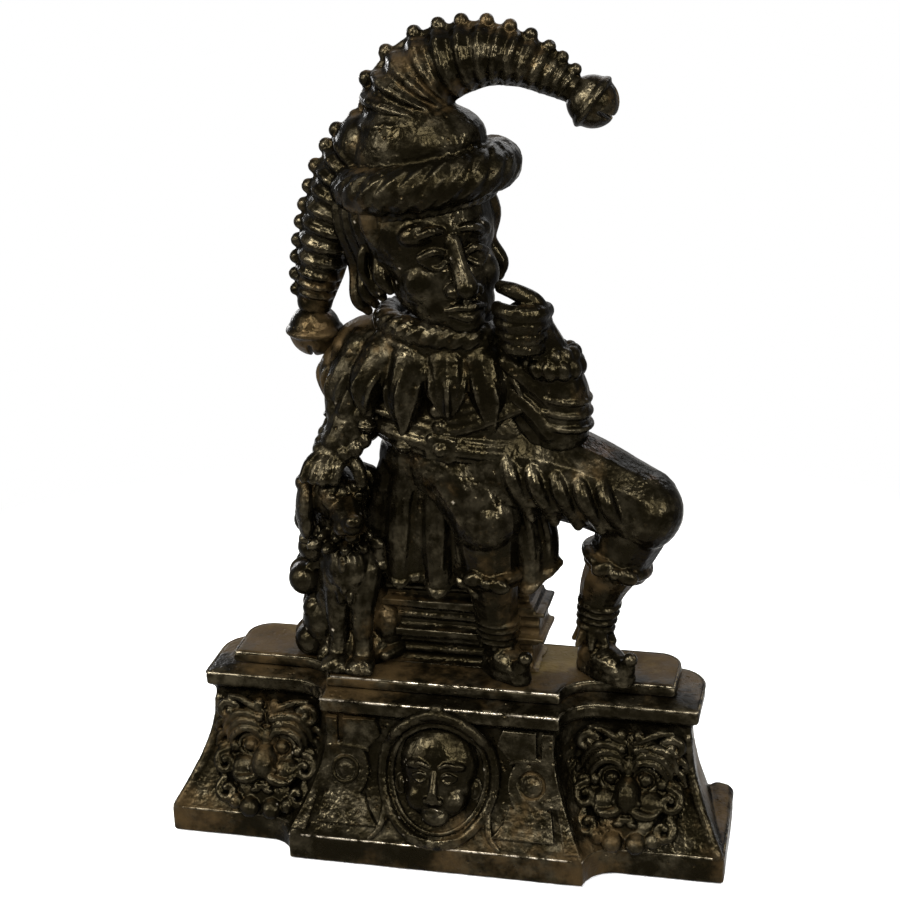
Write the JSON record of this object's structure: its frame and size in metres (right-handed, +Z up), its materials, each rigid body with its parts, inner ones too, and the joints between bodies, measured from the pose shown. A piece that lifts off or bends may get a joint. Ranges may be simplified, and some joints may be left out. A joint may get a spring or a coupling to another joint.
{
  "type": "cast iron doorstop",
  "caption": "Heavy figural doorstop: a seated court jester with a hound on a stepped, moulded plinth, flat at the back to stand against a door or wall.",
  "frame": {"origin": "on the floor, under the middle of the overall box", "axes": "+X to the viewer's right along the front, -Y out of the front, +Z up"},
  "size_m": [0.214, 0.0616, 0.3126],
  "materials": {
    "black_iron": "blackleaded cast iron, worn glossy on the high spots, with a brown rust tint in places",
    "dull_steel": "dull, lightly rusted steel"
  },
  "bodies": {
    "root": {"plinth": "black_iron", "deck_plate": "black_iron", "jester": "black_iron", "hound": "black_iron", "screw_jester_left": "dull_steel", "screw_jester_right": "dull_steel", "screw_hound": "dull_steel", "washer_jester_left": "dull_steel", "washer_jester_right": "dull_steel", "washer_hound": "dull_steel"}
  },
  "joints": []
}
